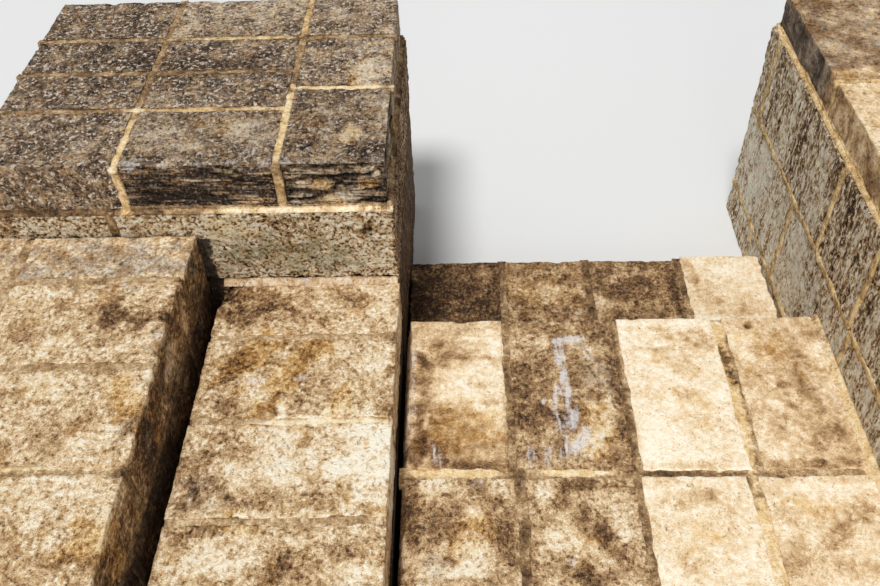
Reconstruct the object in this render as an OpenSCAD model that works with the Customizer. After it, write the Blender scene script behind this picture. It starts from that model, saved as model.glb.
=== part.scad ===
// Outdoor stone steps in coursed limestone: a landing and one tread between two walls.
// On the left a low wall, a drain slot and a raised terrace run beside the landing,
// and a capped pier stands at the landing's edge. On the right stands a coped wall.
// Lengths are in millimetres. The flight goes down towards +y, and z is 0 at the ground.

/* [Flight] */
// Clear width between the two walls
stair_w = 1003; // [900:1:1200]
// Rise from the ground to the tread
lower_riser = 108; // [95:1:160]
// Rise from the tread to the landing
upper_riser = 174; // [140:1:200]
// Depth of the tread, from the landing's edge to its own
tread_depth = 395; // [300:1:480]
// How far the tread's last stone stands ahead of the others
tread_lead = 14; // [0:1:30]
// Depth of one row of landing stones
landing_row = 440; // [320:1:500]
// Mortar joint between the two rows of the landing
row_joint = 10; // [6:1:40]
// Mortar joint between the third and fourth landing stones
wide_joint = 18; // [6:1:30]
// Open joint between the left wall and the landing's first stones
wall_joint = 12; // [4:1:24]

/* [Flight stones, from the left wall] */
// Width of the tread's first stone
tread_1_w = 263; // [200:1:290]
// Width of the tread's second stone
tread_2_w = 238; // [200:1:290]
// Width of the tread's third stone
tread_3_w = 265; // [200:1:290]
// Width of the first stone in the landing's front row
front_1_w = 249; // [200:1:290]
// Width of the second stone in the landing's front row
front_2_w = 261; // [200:1:290]
// Width of the third stone in the landing's front row
front_3_w = 250; // [200:1:290]
// Width of the first stone in the landing's back row
back_1_w = 261; // [200:1:290]
// Width of the second stone in the landing's back row
back_2_w = 245; // [200:1:290]
// Width of the third stone in the landing's back row
back_3_w = 238; // [200:1:290]

/* [Low wall and drain] */
// Width of the low wall beside the landing
low_wall_w = 425; // [380:1:520]
// Rise from the landing to the low wall's top
low_wall_rise = 116; // [80:1:180]
// Thickness of the low wall's cap stones
low_cap_h = 130; // [90:1:145]
// Length of the cap stone against the pier
low_cap_first = 175; // [120:1:240]
// Length of the other cap stones
low_cap_l = 233; // [190:1:300]
// Tight joint between the low wall's end and the pier
butt_joint = 2; // [1:1:8]
// Width of the drain slot
slot_w = 30; // [15:1:60]
// Depth of the drain slot below the low wall's top
slot_depth = 190; // [80:1:240]
// Fall of the gutter's sides to its middle
gutter_dip = 8; // [2:1:15]

/* [Terrace] */
// Width of the raised terrace
terrace_w = 760; // [640:1:900]
// Rise from the low wall's top to the terrace
terrace_rise = 154; // [60:1:200]
// Thickness of the terrace slabs
terrace_slab_h = 140; // [60:1:160]
// Width of the slabs beside the slot
terrace_slab_w = 375; // [300:1:450]
// Length of the slab against the pier
terrace_first = 146; // [110:1:220]
// Length of the other slabs
terrace_slab_l = 243; // [200:1:300]

/* [Pier] */
// How far the pier's front stands past the landing's edge
pier_set = 24; // [0:1:60]
// Width of the pier
pier_w = 944; // [900:1:1040]
// Length of the pier along the flight
pier_l = 772; // [640:1:900]
// Height of the pier's course above the low wall
pier_course_h = 207; // [150:1:260]
// Thickness of the pier's cap stones
pier_cap_h = 129; // [90:1:160]
// Width of the cap stones on the flight's side
pier_cap_w = 236; // [200:1:290]
// Width of the pier's middle column of cap stones, with its joint
middle_cap_w = 350; // [300:1:380]
// Length of the outer front cap stone
outer_cap_first = 218; // [160:1:260]
// Length of the other outer cap stones
outer_cap_l = 162; // [140:1:240]
// Length of the inner front cap stone
inner_cap_first = 301; // [240:1:340]
// Length of the other inner cap stones
inner_cap_l = 240; // [200:1:300]
// Depth of the splits in the weathered front of the inner cap stone
split_depth = 26; // [8:1:40]
// Depth of the fine splits in the front of the outer cap stone
fine_split_depth = 10; // [4:1:20]
// Opening of the splits at the front
split_mouth = 7; // [2:1:10]
// Distance of the front's cross joint from the flight, below the caps
front_seam = 640; // [480:1:700]

/* [Right wall] */
// Thickness of the right wall
wall_w = 600; // [560:1:700]
// How far the right wall runs past the landing's edge
wall_lead = 755; // [650:1:900]
// Height of the lower course of the right wall
lower_course_h = 271; // [200:1:320]
// Length of the end stone in the right wall's lower course
lower_first = 450; // [360:1:560]
// Height of the upper course of the right wall
upper_course_h = 257; // [200:1:320]
// Thickness of the coping stones
coping_h = 102; // [80:1:160]
// Width of the coping stones on the flight's side
coping_w = 262; // [220:1:300]
// Length of the coping's end stone
coping_first = 434; // [300:1:600]
// Length of the coping stone that ends the outer column
coping_short = 210; // [180:1:300]
// Length of the long coping stones
coping_long = 460; // [350:1:600]

/* [Masonry] */
// Height of the footing course of every wall
footing_h = 114; // [80:1:140]
// Thickness of the dressed stones that face a wall
leaf = 190; // [140:1:200]
// Ordinary mortar joint
joint = 10; // [4:1:16]
// How far the mortar is raked back from the stones' faces
rake = 4; // [1:1:8]
// Step from the raked joints back to the foot of a ledge's fillet
fillet_step = 1; // [1:1:4]
// Worn arris along the edges of every stone
arris = 5; // [1:1:9]
// How far the caps and the coping stand back from the wall below
ledge = 14; // [4:1:30]
// Length of a long stone in the wall courses
stretcher = 460; // [360:1:560]
// Length of the long stones in the right wall's upper course
long_stretcher = 555; // [420:1:600]
// Length of a short stone in the wall courses
header = 250; // [200:1:320]
// Depth of the through stone at the end of an upper course
end_stone = 75; // [60:1:140]
// Shortest stone that a mason would leave at an end
min_stone = 70; // [40:1:100]

/* [Hidden] */

stone_pale = "BurlyWood";
stone_brown = "Peru";
stone_grey = "RosyBrown";
mortar_colour = "Goldenrod";
rubble_colour = "Tan";

// Levels above the ground
tread_top = lower_riser;
landing_top = tread_top + upper_riser;
low_wall_top = landing_top + low_wall_rise;
terrace_top = low_wall_top + terrace_rise;
pier_course_top = low_wall_top + pier_course_h;
pier_top = pier_course_top + pier_cap_h;
wall_course_1 = footing_h + lower_course_h;
wall_course_2 = wall_course_1 + upper_course_h;
wall_top = wall_course_2 + coping_h;
low_cap_bed = low_wall_top - low_cap_h;
terrace_bed = terrace_top - terrace_slab_h;
slot_floor = low_wall_top - slot_depth;

// Distance from a wall's face back to the foot of the fillet on its ledge
fillet_foot = rake + fillet_step;

// Places along the flight: 0 is the landing's edge and +y goes down the flight
back_end = -2 * landing_row - row_joint;
pier_front = pier_set;
pier_end = pier_front + pier_l;
wall_end = wall_lead;
tread_end = tread_depth;

// Places across the flight: 0 is the stair face of the left wall
low_wall_left = -low_wall_w;
terrace_right = low_wall_left - slot_w;
terrace_left = terrace_right - terrace_w;
pier_left = -pier_w;
wall_right = stair_w + wall_w;

// Middle of the plan, which becomes the origin
mid_x = (min(terrace_left, pier_left) + wall_right) / 2;
mid_y = (back_end + max(pier_end, wall_end)) / 2;

module place() translate([-mid_x, -mid_y, 0]) children();

// A rectangle with its corners cut off by the worn arris
module worn_rectangle(w, d)
    polygon([
        [arris, 0], [w - arris, 0], [w, arris], [w, d - arris],
        [w - arris, d], [arris, d], [0, d - arris], [0, arris]
    ]);

// A dressed block between two corners, with every edge worn
module stone(block) {
    size = block[1] - block[0];
    translate(block[0])
        intersection() {
            linear_extrude(size.z) worn_rectangle(size.x, size.y);
            translate([0, size.y, 0])
                rotate([90, 0, 0]) linear_extrude(size.y) worn_rectangle(size.x, size.z);
            rotate([90, 0, 90]) linear_extrude(size.x) worn_rectangle(size.y, size.z);
        }
}

module stones(blocks) for (block = blocks) stone(block);

module slab_of(block) translate(block[0]) cube(block[1] - block[0]);

// Mortar fills a whole body of masonry behind its raked faces, around the stones
module mortar_around(body, blocks)
    difference() {
        slab_of(body);
        for (block = blocks) slab_of(block);
    }

// Distances of the vertical joints from the end where the mason began
function cuts(total, first, a, b) = [
    for (i = 0, d = first; d < total - min_stone; d = d + (i % 2 == 0 ? a : b), i = i + 1) d
];

// Stones between joints, as pairs of distances, flush at both ends
function spans(total, joints, gap) =
    let (p = concat([0], joints, [total]), last = len(p) - 2)
    [for (i = [0:last]) [p[i] + (i == 0 ? 0 : gap / 2), p[i + 1] - (i == last ? 0 : gap / 2)]];

// One leaf of stones laid from y1 back to y0
function leaf_run(x0, x1, y0, y1, z0, z1, first, a, b) = [
    for (s = spans(y1 - y0, cuts(y1 - y0, first, a, b), joint))
        [[x0, y1 - s[1], z0], [x1, y1 - s[0], z1]]
];

// A course whose two leaves run through, with closers between them at the ends
function stretcher_course(x0, x1, y0, y1, z0, z1, first, a, b) =
    let (inner = x0 + leaf + joint, outer = x1 - leaf - joint)
    concat(
        leaf_run(x0, x0 + leaf, y0, y1, z0, z1, first, a, b),
        leaf_run(x1 - leaf, x1, y0, y1, z0, z1, first, a, b),
        outer - inner < min_stone ? [] : [
            [[inner, y1 - leaf, z0], [outer, y1, z1]],
            [[inner, y0, z0], [outer, y0 + leaf, z1]]
        ]
    );

// A course tied by through stones at both ends, with two leaves between them
function header_course(x0, x1, y0, y1, z0, z1, depth, a, b) =
    concat(
        [[[x0, y1 - depth, z0], [x1, y1, z1]], [[x0, y0, z0], [x1, y0 + depth, z1]]],
        leaf_run(x0, x0 + leaf, y0 + depth + joint, y1 - depth - joint, z0, z1, a, b, a),
        leaf_run(x1 - leaf, x1, y0 + depth + joint, y1 - depth - joint, z0, z1, a, b, a)
    );

// A course tied by two stones side by side at both ends, with two leaves between them
function tied_course(x0, x1, seam, y0, y1, z0, z1, depth, a, b) =
    concat(
        [
            for (
                across = [[x0, seam - joint / 2], [seam + joint / 2, x1]],
                along = [[y1 - depth, y1], [y0, y0 + depth]]
            )
                [[across[0], along[0], z0], [across[1], along[1], z1]]
        ],
        leaf_run(x0, x0 + leaf, y0 + depth + joint, y1 - depth - joint, z0, z1, a, b, a),
        leaf_run(x1 - leaf, x1, y0 + depth + joint, y1 - depth - joint, z0, z1, a, b, a)
    );

// A row of four stones across the flight, from the widths of the first three
function flight_row(x0, y0, y1, z0, z1, w, last_gap) =
    let (
        a = w[0],
        b = a + w[1],
        c = b + w[2]
    ) [
        [[x0, y0, z0], [a - joint / 2, y1, z1]],
        [[a + joint / 2, y0, z0], [b - joint / 2, y1, z1]],
        [[b + joint / 2, y0, z0], [c - last_gap / 2, y1, z1]],
        [[c + last_gap / 2, y0, z0], [stair_w, y1, z1]]
    ];

// The bedding mortar struck off as a slope on the ledge below a cap
module ledge_fillet(x0, x1, y0, y1, z)
    intersection() {
        translate([0, y1, z]) rotate([90, 0, 0]) linear_extrude(y1 - y0)
            polygon([[x0, 0], [x1, 0], [x1 - ledge, ledge], [x0 + ledge, ledge]]);
        translate([x0, 0, z]) rotate([90, 0, 90]) linear_extrude(x1 - x0)
            polygon([[y0, 0], [y1, 0], [y1 - ledge, ledge], [y0 + ledge, ledge]]);
    }

// A wedge-shaped split along the bed of a stone, opening at its front
module bed_split(x0, x1, y, z, depth, lean)
    translate([(x0 + x1) / 2, y, z])
        rotate([0, lean, 0])
            translate([-(x1 - x0) / 2, 0, 0]) rotate([90, 0, 90]) linear_extrude(x1 - x0)
                polygon([[-depth, -split_mouth], [-depth, split_mouth], [depth, 0]]);

// Blocks of the flight
tread_blocks = [
    for (i = [0:3])
        let (b = flight_row(0, joint, tread_end, joint, tread_top, [tread_1_w, tread_2_w, tread_3_w], joint)[i])
            [b[0], b[1] + [0, i == 3 ? tread_lead : 0, 0]]
];
front_blocks = flight_row(
    wall_joint, -landing_row, 0, tread_top + joint, landing_top, [front_1_w, front_2_w, front_3_w], wide_joint);
back_blocks = flight_row(
    wall_joint, back_end, back_end + landing_row, tread_top + joint, landing_top,
    [back_1_w, back_2_w, back_3_w], wide_joint);

// Blocks of the low wall
low_wall_far = pier_front - butt_joint;
low_cap_blocks = leaf_run(
    low_wall_left, 0, back_end, low_wall_far, low_cap_bed + joint, low_wall_top,
    low_cap_first, low_cap_l, low_cap_l);
low_course_blocks = stretcher_course(
    low_wall_left, 0, back_end, low_wall_far, footing_h + joint, low_cap_bed,
    header, stretcher, stretcher);
low_footing_blocks = stretcher_course(
    low_wall_left, 0, back_end, low_wall_far, 0, footing_h, stretcher, stretcher, stretcher);

// Blocks of the pier
pier_footing_blocks = stretcher_course(
    pier_left, 0, pier_front, pier_end, 0, footing_h, header, stretcher, stretcher);
pier_lower_blocks = tied_course(
    pier_left, 0, -stretcher, pier_front, pier_end, footing_h + joint, low_wall_top,
    header, stretcher, header);
pier_upper_blocks = tied_course(
    pier_left, 0, -front_seam, pier_front, pier_end, low_wall_top + joint, pier_course_top,
    leaf, header, stretcher);
pier_seam = -ledge - pier_cap_w;
end_seam = pier_seam - middle_cap_w;

function cap_run(x0, x1, first, next) = [
    for (s = spans(pier_l - 2 * ledge, cuts(pier_l - 2 * ledge, first, next, next), joint))
        [
            [x0, pier_front + ledge + s[0], pier_course_top + joint],
            [x1, pier_front + ledge + s[1], pier_top]
        ]
];
inner_caps = cap_run(pier_seam + joint / 2, -ledge, inner_cap_first, inner_cap_l);
outer_caps = cap_run(end_seam + joint / 2, pier_seam - joint / 2, outer_cap_first, outer_cap_l);
end_caps = cap_run(pier_left + ledge, end_seam - joint / 2, outer_cap_first, outer_cap_l);

// Splits in the fronts of two caps: share of the cap's height, lean in degrees, depth
inner_splits = [
    [0.2, -2, split_depth / 2], [0.42, -4, split_depth], [0.64, -3, split_depth / 2],
    [0.84, -1, split_depth]
];
outer_splits = [
    [0.28, 2, fine_split_depth], [0.5, 1, fine_split_depth * 0.7], [0.72, 2, fine_split_depth]
];

// Blocks of the terrace
terrace_seam = terrace_right - terrace_slab_w;
function slab_run(x0, x1) = leaf_run(
    x0, x1, back_end, pier_front, terrace_bed + joint, terrace_top,
    terrace_first, terrace_slab_l, terrace_slab_l);
inner_slabs = slab_run(terrace_seam + joint / 2, terrace_right);
outer_slabs = slab_run(terrace_left, terrace_seam - joint / 2);
terrace_course_blocks = header_course(
    terrace_left, terrace_right, back_end, pier_front, footing_h + joint, terrace_bed,
    leaf, stretcher, header);
terrace_footing_blocks = stretcher_course(
    terrace_left, terrace_right, back_end, pier_front, 0, footing_h, header, stretcher, stretcher);

// Blocks of the right wall
wall_footing_blocks = stretcher_course(
    stair_w, wall_right, back_end, wall_end, 0, footing_h, header, stretcher, stretcher);
wall_lower_blocks = stretcher_course(
    stair_w, wall_right, back_end, wall_end, footing_h + joint, wall_course_1,
    lower_first, stretcher, stretcher);
wall_upper_blocks = header_course(
    stair_w, wall_right, back_end, wall_end, wall_course_1 + joint, wall_course_2,
    end_stone, long_stretcher, header);
coping_seam = stair_w + ledge + coping_w;
inner_coping = leaf_run(
    stair_w + ledge, coping_seam - joint / 2, back_end, wall_end - ledge,
    wall_course_2 + joint, wall_top, coping_first, coping_long, coping_long);
outer_coping = leaf_run(
    coping_seam + joint / 2, wall_right - ledge, back_end, wall_end - ledge,
    wall_course_2 + joint, wall_top, coping_short, coping_long, coping_long);

// The flight
module tread_stone(i) color(stone_brown) place() stone(tread_blocks[i]);
module landing_front_stone(i) color(stone_pale) place() stone(front_blocks[i]);
module landing_back_stone(i) color(stone_pale) place() stone(back_blocks[i]);

module tread_mortar()
    color(mortar_colour) place()
        mortar_around([[0, 0, 0], [stair_w, tread_end - rake, tread_top - rake]], tread_blocks);

module landing_mortar()
    color(mortar_colour) place()
        mortar_around(
            [[wall_joint + rake, back_end + rake, tread_top], [stair_w, -rake, landing_top - rake]],
            concat(front_blocks, back_blocks));

module landing_core()
    color(rubble_colour) place() slab_of([[0, back_end, 0], [stair_w, 0, tread_top]]);

// The low wall and the drain
module low_wall_cap(i) color(stone_pale) place() stone(low_cap_blocks[i]);
module low_wall_course() color(stone_brown) place() stones(low_course_blocks);
module low_wall_footing() color(stone_brown) place() stones(low_footing_blocks);

module low_wall_mortar()
    color(mortar_colour) place()
        mortar_around(
            [[low_wall_left + rake, back_end + rake, 0], [-rake, pier_front, low_wall_top - rake]],
            concat(low_cap_blocks, low_course_blocks, low_footing_blocks));

module drain_floor()
    color(rubble_colour) place()
        translate([terrace_right, pier_front, 0])
            rotate([90, 0, 0]) linear_extrude(pier_front - back_end)
                polygon([
                    [0, 0], [slot_w, 0], [slot_w, slot_floor],
                    [slot_w / 2, slot_floor - gutter_dip], [0, slot_floor]
                ]);

// The pier
module split_cap(b, splits)
    color(stone_grey) place()
        difference() {
            stone(b);
            for (split = splits)
                bed_split(
                    b[0].x - arris, b[1].x + arris, b[0].y, b[0].z + (b[1].z - b[0].z) * split[0],
                    split[2], split[1]);
        }

module pier_cap_front_inner() split_cap(inner_caps[0], inner_splits);
module pier_cap_front_outer() split_cap(outer_caps[0], outer_splits);

function all_but_first(list) = [for (i = [1:len(list) - 1]) list[i]];
module pier_caps_inner() color(stone_grey) place() stones(all_but_first(inner_caps));
module pier_caps_outer() color(stone_grey) place() stones(all_but_first(outer_caps));
module pier_caps_end() color(stone_grey) place() stones(end_caps);
module pier_upper_course() color(stone_brown) place() stones(pier_upper_blocks);
module pier_lower_course() color(stone_brown) place() stones(pier_lower_blocks);
module pier_footing() color(stone_brown) place() stones(pier_footing_blocks);

module pier_mortar()
    color(mortar_colour) place()
        difference() {
            union() {
                slab_of([[pier_left + rake, pier_front + rake, 0], [-rake, pier_end - rake, pier_course_top]]);
                slab_of([
                    [pier_left + ledge + rake, pier_front + ledge + rake, low_wall_top],
                    [-ledge - rake, pier_end - ledge - rake, pier_top - rake]
                ]);
                ledge_fillet(
                    pier_left + fillet_foot, -fillet_foot, pier_front + fillet_foot, pier_end - fillet_foot,
                    pier_course_top);
            }
            for (
                b = concat(
                    pier_footing_blocks, pier_lower_blocks, pier_upper_blocks, inner_caps, outer_caps, end_caps)
            )
                slab_of(b);
        }

// The terrace
module terrace_slabs_inner() color(stone_pale) place() stones(inner_slabs);
module terrace_slabs_outer() color(stone_pale) place() stones(outer_slabs);
module terrace_course() color(stone_brown) place() stones(terrace_course_blocks);
module terrace_footing() color(stone_brown) place() stones(terrace_footing_blocks);

module terrace_mortar()
    color(mortar_colour) place()
        mortar_around(
            [
                [terrace_left + rake, back_end + rake, 0],
                [terrace_right - rake, pier_front - rake, terrace_top - rake]
            ],
            concat(inner_slabs, outer_slabs, terrace_course_blocks, terrace_footing_blocks));

// The right wall
module right_wall_coping_inner() color(stone_pale) place() stones(inner_coping);
module right_wall_coping_outer() color(stone_pale) place() stones(outer_coping);
module right_wall_upper_course() color(stone_grey) place() stones(wall_upper_blocks);
module right_wall_lower_course() color(stone_grey) place() stones(wall_lower_blocks);
module right_wall_footing() color(stone_grey) place() stones(wall_footing_blocks);

module right_wall_mortar()
    color(mortar_colour) place()
        difference() {
            union() {
                slab_of([[stair_w + rake, back_end + rake, 0], [wall_right - rake, wall_end - rake, wall_course_2]]);
                slab_of([
                    [stair_w + ledge + rake, back_end + rake, wall_course_1],
                    [wall_right - ledge - rake, wall_end - ledge - rake, wall_top - rake]
                ]);
                ledge_fillet(
                    stair_w + fillet_foot, wall_right - fillet_foot, back_end + fillet_foot, wall_end - fillet_foot,
                    wall_course_2);
            }
            for (
                b = concat(
                    wall_footing_blocks, wall_lower_blocks, wall_upper_blocks, inner_coping, outer_coping)
            )
                slab_of(b);
        }

tread_stone(0);  // tread_stone_1
tread_stone(1);  // tread_stone_2
tread_stone(2);  // tread_stone_3
tread_stone(3);  // tread_stone_4
tread_mortar();
landing_front_stone(0);  // landing_front_stone_1
landing_front_stone(1);  // landing_front_stone_2
landing_front_stone(2);  // landing_front_stone_3
landing_front_stone(3);  // landing_front_stone_4
landing_back_stone(0);  // landing_back_stone_1
landing_back_stone(1);  // landing_back_stone_2
landing_back_stone(2);  // landing_back_stone_3
landing_back_stone(3);  // landing_back_stone_4
landing_mortar();
landing_core();
low_wall_cap(0);  // low_wall_cap_1
low_wall_cap(1);  // low_wall_cap_2
low_wall_cap(2);  // low_wall_cap_3
low_wall_cap(3);  // low_wall_cap_4
low_wall_course();
low_wall_footing();
low_wall_mortar();
drain_floor();
pier_cap_front_inner();
pier_cap_front_outer();
pier_caps_inner();
pier_caps_outer();
pier_caps_end();
pier_upper_course();
pier_lower_course();
pier_footing();
pier_mortar();
terrace_slabs_inner();
terrace_slabs_outer();
terrace_course();
terrace_footing();
terrace_mortar();
right_wall_coping_inner();
right_wall_coping_outer();
right_wall_upper_course();
right_wall_lower_course();
right_wall_footing();
right_wall_mortar();
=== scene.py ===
import math

import bmesh
import bpy
from mathutils import Matrix, Vector, noise


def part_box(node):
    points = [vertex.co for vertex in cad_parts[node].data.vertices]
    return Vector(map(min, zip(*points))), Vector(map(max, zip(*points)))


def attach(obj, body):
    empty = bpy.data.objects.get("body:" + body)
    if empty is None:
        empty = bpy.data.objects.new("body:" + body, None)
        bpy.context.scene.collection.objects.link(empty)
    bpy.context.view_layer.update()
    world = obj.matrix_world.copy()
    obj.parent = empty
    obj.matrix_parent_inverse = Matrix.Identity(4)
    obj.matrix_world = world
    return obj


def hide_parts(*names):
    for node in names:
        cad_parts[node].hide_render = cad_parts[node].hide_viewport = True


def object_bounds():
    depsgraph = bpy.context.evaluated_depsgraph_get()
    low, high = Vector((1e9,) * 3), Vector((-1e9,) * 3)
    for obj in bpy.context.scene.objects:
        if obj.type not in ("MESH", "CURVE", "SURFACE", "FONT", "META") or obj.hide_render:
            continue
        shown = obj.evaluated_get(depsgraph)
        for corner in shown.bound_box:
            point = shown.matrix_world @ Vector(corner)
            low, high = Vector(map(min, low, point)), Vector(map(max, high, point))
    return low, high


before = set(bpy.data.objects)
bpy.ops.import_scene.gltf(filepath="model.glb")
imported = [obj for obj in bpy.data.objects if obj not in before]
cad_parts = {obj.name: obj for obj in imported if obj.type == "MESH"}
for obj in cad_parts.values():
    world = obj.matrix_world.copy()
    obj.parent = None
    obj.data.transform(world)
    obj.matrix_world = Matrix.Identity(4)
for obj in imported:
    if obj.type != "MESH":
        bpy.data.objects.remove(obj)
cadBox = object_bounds()
print("frame loaded, nodes:", len(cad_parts))

# Millimetres on the flight: x from the stair face of the left wall, y from the landing's
# edge down the flight, z from the ground. The core of the landing has its corner there.
coreLow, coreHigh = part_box("landing_core")
flightOrigin = Vector((coreLow[0], coreHigh[1], 0))


def onFlight(x, y, z=0.0):
    return flightOrigin + Vector((x, y, z)) / 1000


def smooth(value, low, high):
    t = min(max((value - low) / (high - low), 0.0), 1.0)
    return t * t * (3 - 2 * t)


# Camera, at a standing person's eye above the landing
view = {
    "eye": (141.5, -1505, 1882),
    "pitch": 44.979,      # degrees down
    "yaw": -1.818,        # degrees to the right
    "roll": -2.035,
    "focalPixels": 896.93,
    "imageWidth": 880,
    "sensor": 36.0,
}


def makeCamera(look):
    pitch, yaw, roll = (math.radians(look[key]) for key in ("pitch", "yaw", "roll"))
    forward = Vector((math.sin(yaw) * math.cos(pitch), math.cos(yaw) * math.cos(pitch), -math.sin(pitch)))
    right = Vector((math.cos(yaw), -math.sin(yaw), 0))
    up = right.cross(forward)
    rolledRight = right * math.cos(roll) + up * math.sin(roll)
    rolledUp = up * math.cos(roll) - right * math.sin(roll)
    turn = Matrix((rolledRight, rolledUp, -forward)).transposed()
    data = bpy.data.cameras.new("camera")
    data.sensor_width = look["sensor"]
    data.lens = look["focalPixels"] / look["imageWidth"] * look["sensor"]
    data.clip_start = 0.05
    made = bpy.data.objects.new("camera", data)
    made.matrix_world = Matrix.Translation(onFlight(*look["eye"])) @ turn.to_4x4()
    bpy.context.scene.collection.objects.link(made)
    bpy.context.scene.camera = made


makeCamera(view)
bpy.context.scene.view_settings.view_transform = "Standard"
print("camera placed")


# Shader arithmetic: a wire is a socket that can be added, multiplied and mixed
class Wire:
    def __init__(self, tree, socket=None):
        self.tree = tree
        self.socket = socket

    def make(self, kind, settings=None, inputs=None, output=0):
        made = self.tree.nodes.new("ShaderNode" + kind)
        for key, value in (settings or {}).items():
            if key == "stops":
                for spare in range(len(value) - 2):
                    made.color_ramp.elements.new(0.5)
                for element, (place, colour) in zip(made.color_ramp.elements, value):
                    element.position = place
                    element.color = colour
            else:
                setattr(made, key, value)
        for key, value in (inputs or {}).items():
            if isinstance(value, Wire):
                self.tree.links.new(value.socket, made.inputs[key])
            else:
                made.inputs[key].default_value = value
        return Wire(self.tree, made.outputs[output])

    def calc(self, operation, *terms):
        return self.make("Math", {"operation": operation}, dict(enumerate(terms)))

    def __add__(self, other):
        return self.calc("ADD", self, other)

    def __radd__(self, other):
        return self.calc("ADD", other, self)

    def __sub__(self, other):
        return self.calc("SUBTRACT", self, other)

    def __rsub__(self, other):
        return self.calc("SUBTRACT", other, self)

    def __mul__(self, other):
        return self.calc("MULTIPLY", self, other)

    def __rmul__(self, other):
        return self.calc("MULTIPLY", other, self)

    def ease(self, low, high):
        settings = {"interpolation_type": "SMOOTHSTEP"}
        return self.make("MapRange", settings, {0: self, 1: low, 2: high, 3: 0.0, 4: 1.0})

    def blend(self, below, above):
        settings = {"data_type": "RGBA"}
        return self.make("Mix", settings, {0: self, 6: below, 7: above}, output=2)

    def ramp(self, colours):
        stops = [(index / (len(colours) - 1), tint(*colour)) for index, colour in enumerate(colours)]
        return self.make("ValToRGB", {"stops": stops}, {0: self})

    def noise(self, scale, detail=4.0, rough=0.6, warp=0.0):
        inputs = {"Vector": self, "Scale": scale, "Detail": detail, "Roughness": rough, "Distortion": warp}
        return self.make("TexNoise", None, inputs)

    def mapped(self, scale, shift=(0, 0, 0), turn=(0, 0, 0)):
        inputs = {"Vector": self, "Scale": scale, "Location": shift, "Rotation": turn}
        return self.make("Mapping", None, inputs)

    def channels(self):
        return [self.make("SeparateColor", None, {0: self}, output) for output in range(3)]


def tint(red, green, blue):
    def linear(level):
        level /= 255
        return level / 12.92 if level <= 0.04045 else ((level + 0.055) / 1.055) ** 2.4
    return (linear(red), linear(green), linear(blue), 1.0)


def newMaterial(name):
    material = bpy.data.materials.new(name)
    material.use_nodes = True
    return material, material.node_tree.nodes["Principled BSDF"]


# Stone and mortar: a painted tone says how much of the brown film covers the pale stone, and in
# places it is lowered as painted shade. Grain of several sizes runs through a ramp of colours. A
# second ramp, painted in, is lichen on stone and clean lime on mortar.
paleStone = {
    "ramp": [(56, 41, 29), (108, 79, 52), (158, 123, 85), (203, 169, 125), (237, 210, 169), (255, 245, 222)],
    "second": [(36, 32, 28), (76, 66, 56), (118, 103, 88), (156, 138, 119), (192, 175, 154), (226, 215, 198)],
    "ochre": [(60, 38, 20), (116, 80, 42), (168, 122, 66), (206, 160, 96), (236, 202, 146), (250, 230, 188)],
    "lime": (232, 225, 221),
    "dripScale": (110, 20, 60),
    "moss": (120, 112, 60),
    "sootAndShade": (44, 36, 29),
    "shift": (0.0, 0.0, 0.0),
    "filmScale": (20, 17, 18),
    "film": 0.26,
    "mottle": 0.85,
    "grain": 1.4,
    "fleck": 0.6,
    "streak": 0.3,
    "streakScale": (16, 26, 30),
    "streakTurn": (0, 0, 0.6),
    "spread": 2.6,            # how unevenly the film lies
    "smoothing": 0.4,         # how much less grain the cleanest stone shows
    "gritScale": (190, 160, 190),
    "pits": 0.9,
    "salt": 0.3,
    "specks": 0.0,
    "speckTint": (222, 214, 210),
    "speckScale": 165,
    "veins": 0.0,
    "gritCover": 0.14,        # the greater, the fewer the pits and pale grains
    # how much darker deep places are painted: painted shade in hollows, pits and raked joints
    "hollowShade": 0.3,
    "edge": 0.26,             # how wide a stain fades out
    "layers": 0.0,            # beds that show on the sides
    "fine": 0.6,              # share of the fine relief
    "bump": 0.0065,
}
wornStone = dict(
    paleStone, shift=(4.4, 2.1, 0.7), mottle=1.2, grain=1.8, fleck=0.9, salt=1.1, pits=0.8,
    smoothing=0.35, gritScale=(120, 100, 120), gritCover=0.07, fine=0.7, bump=0.009)
brownStone = dict(
    paleStone, shift=(2.3, 0.6, 1.9), film=0.28, mottle=0.9, fleck=0.9, streak=0.5, pits=0.8,
    salt=0.9, veins=0.3, spread=2.4, gritScale=(120, 100, 120), gritCover=0.07, edge=0.2, fine=1.0)
greyStone = dict(
    paleStone, shift=(3.1, 1.7, 0.4), film=0.3, mottle=1.3, grain=1.9, fleck=1.2, specks=1.0,
    pits=1.2, salt=0.8, speckTint=(236, 218, 196), speckScale=96, smoothing=0.0,
    gritScale=(125, 105, 125), gritCover=0.07, fine=1.0, edge=0.24, bump=0.010)
splitStone = dict(greyStone, streakTurn=(0, 0.12, 0), streak=0.4, layers=3.0, mottle=1.1, bump=0.016)
roughStone = dict(
    brownStone, shift=(1.1, 0.4, 3.3), film=0.3, mottle=1.7, grain=2.6, fleck=1.2, pits=2.2,
    salt=1.7, smoothing=0.0, gritScale=(130, 130, 140), gritCover=0.045, bump=0.018)
wallStone = dict(
    paleStone, shift=(5.2, 0.3, 2.2), film=0.2, filmScale=(14, 14, 7), streakScale=(28, 28, 3),
    streakTurn=(0, 0, 0), streak=2.8, mottle=1.1, grain=2.4, fleck=1.4, gritScale=(130, 130, 62),
    gritCover=0.035, pits=1.5, salt=3.4, veins=1.0, smoothing=0.0, fine=1.0, bump=0.015)
copingStone = dict(
    wallStone, film=0.3, filmScale=(16, 14, 14), streak=0.3, mottle=0.9, pits=0.7, salt=0.4,
    veins=0.0, fleck=0.7, grain=1.1, gritScale=(110, 110, 110), gritCover=0.07, smoothing=0.5,
    fine=0.5, bump=0.007)
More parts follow.
